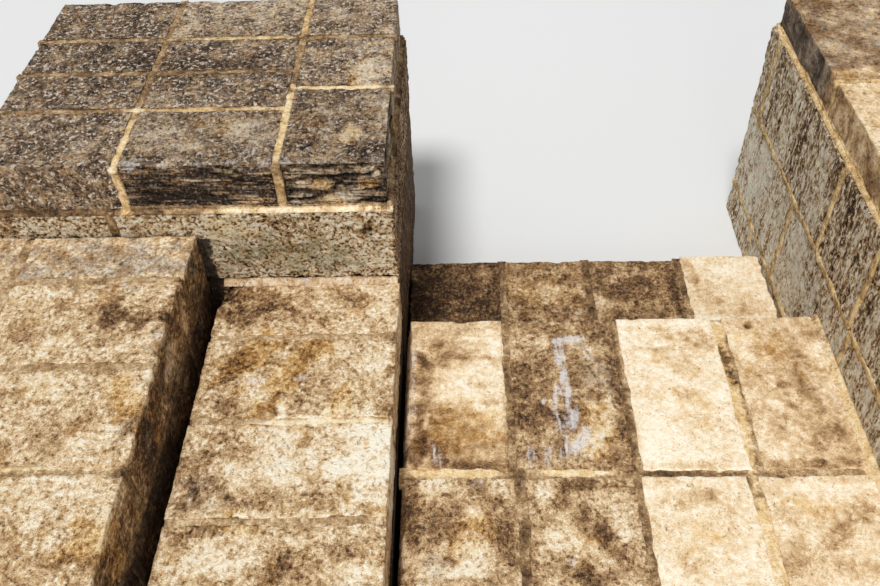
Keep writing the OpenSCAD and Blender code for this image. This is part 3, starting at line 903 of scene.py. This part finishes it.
# The pier. Its front cap stones are split along their beds.
pierLook = {
    "base": {"tone": 0.48, "grey": 0.52, "ochre": 0.16},
    "depth": 0.0032,
    "wear": 0.0035,
    "chips": 0.012,
    "ragged": 0.003,
    "material": grey,
    "slot": "weathered_limestone",
    "patches": [
        ("lime", "top", [
            (0.75, -568, 51, 20, 14), (0.6, -497, 42, 17, 11), (0.6, -422, 43, 17, 11),
            (0.7, -344, 52, 19, 11), (0.75, -278, 43, 17, 14), (0.7, -236, 52, 15, 18),
            (0.6, -157, 40, 19, 11), (0.65, -89, 34, 21, 11), (0.6, -30, 47, 15, 14),
            (0.5, -320, 91, 26, 18)]),
        # the two broad dark marks far back on the top (y about 470) are partly stain and partly painted
        # shadow
        ("tone", "top", [
            (-0.18, -226, 106, 35, 30), (0.3, -93, 148, 24, 34), (-0.3, -67, 95, 44, 22),
            (0.15, -36, 236, 27, 57), (-0.14, -495, 471, 151, 67), (0.1, -527, 172, 68, 55),
            (-0.1, -380, 470, 330, 200), (-0.12, -406, 75, 88, 33), (0.2, -323, 166, 45, 39),
            (0.25, -69, 409, 53, 55)]),
        ("ochre", "top", [
            (0.5, -93, 148, 31, 42), (0.3, -380, 190, 70, 40), (0.35, -190, 200, 50, 60),
            (0.4, -82, 410, 61, 55)]),
    ],
    # painted shadow and lichen: the outer caps are darker past x -600; painted shade on the stair face near x
    # 0
    "zones": [("tone", -0.12, [(0, -600, -630)]), ("tone", -0.3, [(0, -14, -2)])],
}
capFrontRight = {
    "cell": (0.0028, 0.008, 0.0026),
    "base": {"tone": 0.46, "grey": 0.5, "ochre": 0.12},
    "material": cleft,
    "beds": 0.017,
    "bedDepth": 0.008,
    "dip": 0.03,
    "splits": [
        (9, 7, [(-247, 707), (-216, 718), (-186, 713), (-165, 721)]),
        (16, 9, [(-187, 699), (-169, 694), (-132, 693), (-100, 699), (-55, 698), (-31, 714)]),
        (20, 10, [(-238, 686), (-208, 690), (-188, 692), (-166, 686), (-131, 680), (-99, 685)]),
        (24, 13, [(-245, 651), (-206, 660), (-174, 650), (-154, 653), (-121, 670), (-75, 671)]),
        (18, 9, [(-246, 635), (-210, 634), (-172, 638), (-147, 648), (-124, 651)]),
        (13, 8, [(-67, 656), (-39, 658), (-17, 668)]),
        (14, 8, [(-123, 618), (-107, 621), (-87, 618), (-68, 626), (-35, 631)]),
        (18, 8, [(-40, 620), (-14, 619)]),
    ],
    "patches": pierLook["patches"] + [
        ("ochre", "near", [(0.9, -159, 668, 24, 14), (0.8, -133, 622, 31, 17), (0.7, -56, 671, 24, 14)]),
        # thin pale bands along the lips above the splits: pale crust, partly painted highlight
        ("tone", "near", [
            (0.3, -159, 668, 28, 17), (0.4, -129, 630, 42, 15), (0.28, -56, 671, 28, 16),
            (0.42, -118, 705, 73, 8), (0.42, -203, 700, 36, 9), (0.25, -203, 675, 30, 8),
            (0.2, -217, 644, 31, 8), (-0.25, -16, 660, 16, 70), (0.3, -100, 645, 40, 8)]),
    ],
}
capFrontLeft = {
    "cell": (0.0032, 0.008, 0.0028),
    "material": cleft,
    "base": {"tone": 0.42, "grey": 0.5, "ochre": 0.2},
    "beds": 0.0095,
    "bedDepth": 0.0044,
    "dip": 0.12,
    "zones": [("tone", 0.12, [(2, 716, 728)]), ("tone", -0.1, [(2, 716, 700)])],
    "splits": [
        (9, 6, [(-558, 660), (-514, 652), (-439, 634)]),
        (8, 6, [(-424, 655), (-371, 640)]),
        (9, 6, [(-401, 711), (-336, 690), (-262, 679)]),
        (6, 5, [(-409, 628), (-384, 626)]),
        (6, 9, [(-377, 729), (-320, 706)]),
    ],
    "patches": pierLook["patches"] + [
        # thin pale bands along the lips above the splits: pale crust, partly painted highlight
        ("tone", "near", [
            (-0.2, -529, 683, 60, 44), (-0.08, -381, 667, 66, 44), (0.2, -310, 632, 44, 17),
            (0.25, -394, 656, 26, 8), (0.25, -420, 690, 50, 8, -8)]),
        ("moss", "near", [(0.4, -350, 705, 50, 20, -25)]),
        ("ochre", "near", [(0.4, -310, 632, 44, 14)]),
        ("lime", "near", [(0.6, -575, 721, 18, 7), (0.6, -307, 712, 16, 7)]),
    ],
}
dressStones("pier_cap_front_right", ["pier_cap_front_inner"], dict(pierLook, **capFrontRight))
dressStones("pier_cap_front_left", ["pier_cap_front_outer"], dict(pierLook, **capFrontLeft))
dressStones("pier_caps", ["pier_caps_inner", "pier_caps_outer", "pier_caps_end"], dict(
    pierLook, cell=(0.0075, 0.0075, 0.014), beds=0.016, bedDepth=0.002,
    dips=[(-575, 150, 734, 20, 14)]))
dressStones("pier_upper", ["pier_upper_course"], dict(
    pierLook,
    cell=(0.0064, 0.016, 0.0064),
    base={"tone": 0.68, "grey": 0.05, "ochre": 0.34, "moss": 0.16},
    pits=0.5,
    pitScale=70,
    pitDepth=0.0055,
    depth=0.005,
    stretch=(0.75, 0.75, 1.1),
    dips=[(-66, 24, 549, 20, 12), (-108, 24, 560, 8, 8)],
    patches=[
        ("tone", "near", [
            (0.34, -387, 560, 66, 44), (0.12, -28, 526, 23, 43), (-0.12, -217, 570, 90, 22),
            (-0.15, -101, 552, 45, 12), (0.3, -88, 570, 20, 16), (0.14, -161, 460, 140, 32)]),
        ("clean", "near", [(-0.05, -387, 560, 66, 44)]),
        ("ochre", "near", [(0.4, -387, 560, 60, 40)]),
        ("moss", "near", [(0.45, -251, 484, 209, 56)]),
        ("sootAndShade", "near", [(0.5, -64, 540, 16, 16)]),
    ],
    # painted shade: the course's end in the slot is darkened toward soot colour, and its stair face is
    # darkened
    zones=[("sootAndShade", 0.9, [(0, -424, -436), (1, 60, 40), (2, 548, 530)]), ("tone", -0.3, [(0, -14, -2)])],
    material=crusted,
    slot="brown_limestone",
))
dressStones("pier_lower", ["pier_lower_course", "pier_footing"], dict(
    pierLook, cell=(0.017, 0.017, 0.017), base={"tone": 0.36, "grey": 0.2, "ochre": 0.15, "moss": 0.1},
    # painted shade: the stair face is darkened
    depth=0.005, zones=[("tone", -0.22, [(0, -14, -2)])], material=brown, slot="brown_limestone"))

# The terrace, with worn slabs beside the slot
terraceLook = {
    "material": worn,
    "base": {"tone": 0.64, "ochre": 0.32, "grey": 0.08},
    "wear": 0.005,
    "cell": (0.0062, 0.0062, 0.014),
    # painted shade: the side facing into the slot is darkened, and lowest down it gets soot colour
    "zones": [
        ("tone", -0.36, [(0, -469, -457), (2, 548, 530)]),
        ("sootAndShade", 0.35, [(0, -470, -458), (2, 424, 380)])],
    "patches": [
        ("tone", "top", [
            (0.3, -447, 28, 16, 21), (-0.16, -590, -246, 79, 62), (-0.2, -545, -219, 63, 40),
            (-0.16, -458, -185, 21, 119, -12), (-0.1, -459, -486, 26, 70, -25),
            (0.3, -455, -382, 20, 15), (0.22, -453, -415, 10, 12), (0.2, -452, -707, 10, 61, -12),
            (0.16, -672, -412, 51, 30), (0.14, -537, -542, 55, 27, 20), (-0.1, -436, -781, 43, 25),
            (-0.12, -627, -519, 45, 32), (0.12, -588, -667, 42, 28), (0.14, -488, -284, 25, 27),
            (0.1, -664, -308, 49, 27), (0.14, -548, -627, 71, 10), (-0.1, -751, -294, 41, 44),
            (-0.12, -521, -772, 43, 22)]),
        ("grey", "top", [
            (0.5, -629, -65, 246, 84), (0.45, -459, -486, 26, 70, -25), (0.4, -464, -298, 29, 54, -20)]),
        ("ochre", "top", [(0.5, -499, -438, 31, 63, 35), (0.4, -473, -736, 51, 45)]),
    ],
    "dips": [(-455, -230, 552, 34, 6), (-455, -330, 552, 22, 4), (-455, -98, 414, 34, 9)],
    "worn": [("right", -420, -140, 8), ("right", -800, -600, 5)],
    "chips": 0.014,
}
dressStones("terrace_right", ["terrace_slabs_inner"], terraceLook)
dressStones("terrace_left", ["terrace_slabs_outer"], dict(terraceLook, cell=(0.008, 0.008, 0.012)))
dressStones("terrace_body", ["terrace_course", "terrace_footing"], dict(
    terraceLook, cell=(0.018, 0.018, 0.018), patches=[], base={"tone": 0.4, "grey": 0.2, "ochre": 0.15},
    depth=0.005, material=brown, slot="brown_limestone"))

# The right wall, streaked by rain
wallLook = {
    "cell": (0.016, 0.0102, 0.0102),
    "base": {"tone": 0.8, "grey": 0.3, "ochre": 0.14},
    "vary": 0.03,
    "wear": 0.0035,
    "ragged": 0.006,
    "depth": 0.004,
    "stretch": (1.4, 1.4, 0.7),
    "pits": 0.5,
    "pitScale": 62,
    "pitDepth": 0.004,
    "zones": [("tone", 0.12, [(2, 420, 300)])],
    "patches": [
        ("tone", "stair", [
            (-0.2, 588, 543, 14, 60), (-0.22, 490, 544, 16, 60), (-0.24, 375, 531, 16, 90),
            (-0.2, 361, 601, 12, 60), (-0.25, 28, 605, 60, 70), (0.14, -241, 431, 70, 90),
            (0.1, 551, 268, 120, 70), (-0.4, 218, 502, 10, 14), (-0.14, -247, 268, 40, 60),
            (-0.16, 288, 307, 30, 80), (0.12, 279, 132, 60, 80), (-0.18, 607, 30, 60, 60)]),
        ("moss", "stair", [(0.35, -136, 294, 60, 60)]),
    ],
    "material": walling,
    "slot": "weathered_limestone",
}
dressStones("wall_upper", ["right_wall_upper_course"], dict(
    wallLook, base={"tone": 0.66, "grey": 0.3, "ochre": 0.14}))
dressStones("wall_lower", ["right_wall_lower_course"], wallLook)
dressStones("wall_footing", ["right_wall_footing"], dict(wallLook, cell=(0.018, 0.014, 0.014)))
# the coping's far part is painted darker and greyer: partly lichen, partly painted shadow
farCoping = [(1, 330, 380)]
copingFace = [(0, 1026, 1016), (2, 740, 734)]
dressStones("coping", ["right_wall_coping_inner", "right_wall_coping_outer"], dict(
    wallLook, patches=[], cell=(0.011, 0.011, 0.011), stretch=(1, 1, 1), pits=0.0, ragged=0.003,
    base={"tone": 0.66, "grey": 0.1, "ochre": 0.34}, material=capping, zones=[
        ("tone", -0.14, farCoping), ("grey", 0.4, farCoping), ("tone", -0.22, copingFace),
        ("grey", 0.3, copingFace), ("moss", 0.3, copingFace)]))

# What lies below: the landing's rubble and the drain
dressStones("rubble_core", ["landing_core"], {
    "cell": (0.011, 0.02, 0.011), "wear": 0.004, "depth": 0.006, "pits": 0.6, "pitScale": 22,
    "pitDepth": 0.012, "base": {"tone": 0.35}, "material": rubble, "slot": "rubble_core"})
# the drain floor, deep in the slot, gets some painted shade in soot colour
dressStones("drain_bed", ["drain_floor"], {
    "cell": (0.006, 0.012, 0.012), "wear": 0.003, "ragged": 0.0, "base": {"tone": 0.55, "sootAndShade": 0.2},
    "material": rubble, "slot": "rubble_core"})
print("stones dressed")

# Mortar: a strip in each joint that shows, raked back and worn
mortarLook = {
    "cell": 0.0085,
    "rake": 0.0025,
    "rough": 0.003,
    "deep": 0.018,        # how far a strip reaches into the joint
    "tuck": 0.007,        # how far a strip runs under the stones beside it
    "base": {"tone": 0.42, "clean": 0.12},
    "slope": 0.9,         # rise of a fillet to its depth
    "vary": 0.0,
    "seed": (0.0, 0.0, 0.0),
    "holes": [],
    "patches": [],
    "zones": [],
    "material": mortar,
    "slot": "lime_mortar",
}


jointWidths = (0.001, 0.022)
shortestJoint = 0.01
levelFaces = 0.02         # the stones beside a joint end this near to one plane
stripOverrun = 0.006
wallInset = 0.008
stripRows = (0.05, 0.006)           # rows into the joint and across it
filletRows = (0.006, 0.006, 0.004)


def jointStrips(blocks, look):
    # the joints between every two blocks, on each side where both show
    found = []
    for side, (axis, sign) in sides.items():
        if side == "under":
            continue
        for run in range(3):
            if run == axis:
                continue
            other = 3 - axis - run
            for aLow, aHigh in blocks:
                for bLow, bHigh in blocks:
                    gap = bLow[run] - aHigh[run]
                    start = max(aLow[other], bLow[other])
                    end = min(aHigh[other], bHigh[other])
                    faceA = aHigh[axis] if sign > 0 else aLow[axis]
                    faceB = bHigh[axis] if sign > 0 else bLow[axis]
                    if not (jointWidths[0] < gap < jointWidths[1] and end - start > shortestJoint):
                        continue
                    if abs(faceA - faceB) >= levelFaces:
                        continue
                    if side not in openSides(aLow, aHigh) or side not in openSides(bLow, bHigh):
                        continue
                    face = min(faceA * sign, faceB * sign) * sign
                    low, high = Vector((0, 0, 0)), Vector((0, 0, 0))
                    low[run], high[run] = aHigh[run] - look["tuck"], bLow[run] + look["tuck"]
                    low[other], high[other] = start - stripOverrun, end + stripOverrun
                    inner = face - sign * look["deep"]
                    low[axis], high[axis] = min(face, inner), max(face, inner)
                    found.append((side, low, high))
    return found


def clampInto(low, high, axis, nodes):
    # a strip never reaches past the stones of its own wall, and stands on the ground
    lows = [low0 for node in nodes for low0, high0 in masonry[node]]
    highs = [high0 for node in nodes for low0, high0 in masonry[node]]
    for k in range(3):
        start, end = min(corner[k] for corner in lows), max(corner[k] for corner in highs)
        inset = 0.0 if k == axis else wallInset
        low[k] = max(low[k], start + (0.0 if k == 2 else inset))
        high[k] = min(high[k], end - inset)


def layStrip(side, low, high, look):
    axis, sign = sides[side]
    cell = [look["cell"]] * 3
    narrow = min((k for k in range(3) if k != axis), key=lambda k: high[k] - low[k])
    cell[axis], cell[narrow] = stripRows
    bm = gridBlock(low, high, cell)
    shadedHollow = bm.verts.layers.float.new("shadedHollow")
    face = high[axis] if sign > 0 else low[axis]
    for vert in bm.verts:
        gap = abs(face - vert.co[axis])
        rough = 0.5 + 0.8 * noise.noise(vert.co * 30) + 0.7 * noise.noise(vert.co * 110)
        back = look["rake"] + look["rough"] * rough
        local = (vert.co - flightOrigin) * 1000
        for x, y, z, r, depth in look["holes"]:
            away = (local - Vector((x, y, z))).length
            back += depth / 1000 * (1 - smooth(away, r * 0.5, r))
        vert.co[axis] -= sign * back * (1 - min(gap / look["deep"], 1.0))
        # painted shade: mortar raked deeper is marked to be painted darker
        vert[shadedHollow] = smooth(back, look["rake"] + 0.002, look["rake"] + 0.008)
    return bm


def layFillet(low, high, drop, look):
    # a strip struck off as a slope; drop names the sides it falls to
    bm = gridBlock(low, high, filletRows)
    shadedHollow = bm.verts.layers.float.new("shadedHollow")
    for vert in bm.verts:
        away = 1.0
        for side in drop:
            axis, sign = sides[side]
            away = min(away, high[axis] - vert.co[axis] if sign > 0 else vert.co[axis] - low[axis])
        rough = 0.0034 * noise.noise(vert.co * 24) + 0.003 * noise.noise(vert.co * 80) - 0.001
        share = (vert.co.z - low.z) / (high.z - low.z)
        vert.co.z = low.z + share * max(min(away * look["slope"] + 0.0012 + rough, high.z - low.z), 0.0004)
        vert[shadedHollow] = 0.0
    return bm


def dressMortar(name, node, stoneNodes, look, fillets=()):
    look = dict(mortarLook, **look)
    blocks = [block for stoneNode in stoneNodes for block in masonry[stoneNode]]
    parts = []
    for side, low, high in jointStrips(blocks, look):
        clampInto(low, high, sides[side][0], stoneNodes)
        bm = layStrip(side, low, high, look)
        paintStone(bm, look)
        parts.append(bm)
    for low, high, drop in fillets:
        bm = layFillet(onFlight(*low), onFlight(*high), drop, look)
        paintStone(bm, look)
        parts.append(bm)
    joinPieces(name, parts, look, [node])


dressMortar("landing_joints", "landing_mortar", [
    "landing_core", *("landing_front_stone_" + key for key in landingFront),
    *("landing_back_stone_" + key for key in landingBack)], {
    "cell": 0.006,
    "deep": 0.024,
    "tuck": 0.016,
    "rake": 0.0022,
    "base": {"tone": 0.64, "clean": 0.12},
    "holes": [
        (755, -92, 282, 10, 8), (756, -110, 282, 10, 9), (757, -128, 282, 10, 9), (758, -146, 282, 9, 8),
        (759, -164, 282, 9, 8), (760, -182, 282, 8, 7), (761, -200, 282, 8, 6), (250, -300, 282, 18, 3)],
    "patches": [
        ("clean", "top", [
            (0.8, 120, -440, 110, 14), (0.8, 372, -440, 84, 12), (0.8, 762, -39, 16, 33),
            (0.95, 746, -250, 21, 190), (0.95, 746, -640, 27, 170), (0.5, 1000, -300, 25, 330),
            (0.5, 1000, -353, 25, 95)]),
        ("tone", "top", [
            (0.1, 120, -440, 110, 14), (0.12, 372, -440, 84, 12), (-0.14, 255, -440, 24, 12),
            (-0.12, 490, -440, 22, 12), (0.04, 762, -39, 16, 33), (-0.06, 762, -120, 20, 110),
            (0.06, 746, -640, 27, 170), (-0.24, 503, -220, 12, 200), (-0.1, 255, -220, 14, 200),
            (-0.2, 640, -445, 120, 7), (-0.14, 255, -640, 20, 180), (-0.08, 500, -640, 14, 180),
            (0.16, 1000, -300, 25, 330), (-0.1, 1000, -353, 25, 95)]),
    ],
}, [((982, -889, 276), (1005, -2, 290), ["left"])])
dressMortar("tread_joints", "tread_mortar", [
    "landing_core", *("tread_stone_" + key for key in treadStones)], {"base": {"tone": 0.5, "clean": 0.05}})
dressMortar("low_wall_joints", "low_wall_mortar", [
    *("low_wall_cap_" + key for key in lowCapTones), "low_wall_course", "low_wall_footing"], {
    "rake": 0.001,
    "base": {"tone": 0.7, "clean": 0.3},
    "patches": [
        ("tone", "top", [
            (0.3, -110, -118, 150, 12), (0.25, -120, -392, 160, 12), (-0.16, -330, -600, 110, 14)]),
        ("clean", "top", [(0.4, -110, -118, 150, 12), (0.4, -120, -392, 160, 12)]),
        ("lime", "top", [(0.4, -110, -118, 150, 12)]),
    ],
    # the zones paint shade into the slot and onto the stair face
    "zones": [slotShade, stairShade],
})
dressMortar("pier_joints", "pier_mortar", [
    "pier_cap_front_inner", "pier_cap_front_outer", "pier_caps_inner", "pier_caps_outer", "pier_caps_end",
    "pier_upper_course", "pier_lower_course", "pier_footing"], {
    "rake": 0.0016,
    "rough": 0.0035,
    "tuck": 0.005,
    "base": {"tone": 0.56, "clean": 0.12},
    "patches": [
        ("lime", "near", [(0.45, -205, 402, 230, 12)]),
        ("tone", "near", [(0.3, -205, 402, 230, 12), (0.26, -208, 608, 240, 9)]),
        ("clean", "top", [
            (0.6, -250, 203, 24, 135), (0.7, -123, 344, 118, 16), (0.6, -425, 256, 190, 16),
            (0.65, -600, 136, 24, 134), (0.5, -436, 580, 206, 18), (0.5, -250, 689, 16, 109)]),
        ("tone", "top", [
            (0.1, -250, 203, 24, 135), (0.34, -123, 344, 118, 16), (0.04, -425, 256, 190, 16),
            (0.1, -600, 136, 24, 134)]),
        ("clean", "near", [(0.5, -208, 608, 240, 9)]),
        ("ochre", "near", [(0.5, -250, 664, 14, 72), (0.5, -600, 664, 14, 72)]),
    ],
    # painted shade: joints on the stair side are darkened, and painted shadow darkens the ledge toward its
    # left end
    "zones": [("tone", -0.2, [(0, -12, -2)]), ("tone", -0.15, [(0, -420, -520), (2, 640, 600)])],
}, [
    ((-420, 11, 397), (-6, 26, 413), ["near"]), ((-939, 32, 604), (-5, 44, 613), ["near"]),
    ((-939, 776, 604), (-5, 791, 616), ["far"]), ((-20, 29, 604), (-5, 791, 616), ["right"]),
    ((-939, 29, 604), (-924, 791, 616), ["left"]),
])
dressMortar("terrace_joints", "terrace_mortar", [
    "terrace_slabs_inner", "terrace_slabs_outer", "terrace_course", "terrace_footing"], {
    "cell": 0.0095,
    "rake": 0.001,
    "base": {"tone": 0.68, "clean": 0.25},
    "patches": [
        ("clean", "top", [(0.6, -640, -588, 190, 16), (0.3, -640, -330, 190, 16)]),
        ("tone", "top", [(0.1, -640, -588, 190, 16), (0.1, -640, -330, 190, 16)])],
    # painted shade: joints on the side facing into the slot are darkened
    "zones": [("sootAndShade", 0.6, [(0, -470, -458), (2, 430, 396)]), ("tone", -0.3, [(0, -469, -459)])]})
dressMortar("wall_joints", "right_wall_mortar", [
    "right_wall_coping_inner", "right_wall_coping_outer", "right_wall_upper_course",
    "right_wall_lower_course", "right_wall_footing"], {
    "cell": 0.0095, "rake": -0.0004, "rough": 0.0045, "tuck": 0.003,
    "base": {"tone": 0.58, "clean": 0.7}}, [
    ((1010, -889, 641), (1022, 750, 651), ["left"]), ((1584, -889, 641), (1596, 750, 651), ["right"]),
    ((1010, 738, 641), (1596, 750, 651), ["far"]),
])
print("mortar laid")

# Floor, lamps and world
studio = {
    "floor": tint(226, 226, 224),
    "floorSize": 60.0,
    "keyFrom": (-0.2, -0.42, 1.0),
    "keyStrength": 2.48,
    "keySoftness": 14,          # degrees
    "fillPlace": (0.7, -5.0, 2.4),
    "fillSize": 3.0,
    "fillPower": 74.0,
    "world": (0.93, 0.96, 1.0, 1.0),
    "worldStrength": 0.35,
}


def makeLamp(name, kind, place, target):
    data = bpy.data.lights.new(name, kind)
    lamp = bpy.data.objects.new(name, data)
    aim = Vector(place) - Vector(target)
    lamp.matrix_world = Matrix.Translation(place) @ aim.to_track_quat("Z", "Y").to_matrix().to_4x4()
    bpy.context.scene.collection.objects.link(lamp)
    return data


def makeStudio(look):
    bm = bmesh.new()
    bmesh.ops.create_grid(bm, x_segments=1, y_segments=1, size=look["floorSize"] / 2)
    data = bpy.data.meshes.new("floor")
    bm.to_mesh(data)
    bm.free()
    floor = bpy.data.objects.new("floor", data)
    bpy.context.scene.collection.objects.link(floor)
    material, shader = newMaterial("floor")
    shader.inputs["Base Color"].default_value = look["floor"]
    shader.inputs["Roughness"].default_value = 0.8
    floor.data.materials.append(material)
    key = makeLamp("key", "SUN", look["keyFrom"], (0, 0, 0))
    key.energy = look["keyStrength"]
    key.angle = math.radians(look["keySoftness"])
    fill = makeLamp("fill", "AREA", look["fillPlace"], (0, 0, 0.4))
    fill.shape = "DISK"
    fill.size = look["fillSize"]
    fill.energy = look["fillPower"]
    world = bpy.data.worlds.new("studio")
    world.use_nodes = True
    background = world.node_tree.nodes["Background"]
    background.inputs["Color"].default_value = look["world"]
    background.inputs["Strength"].default_value = look["worldStrength"]
    bpy.context.scene.world = world


makeStudio(studio)
print("studio lit")
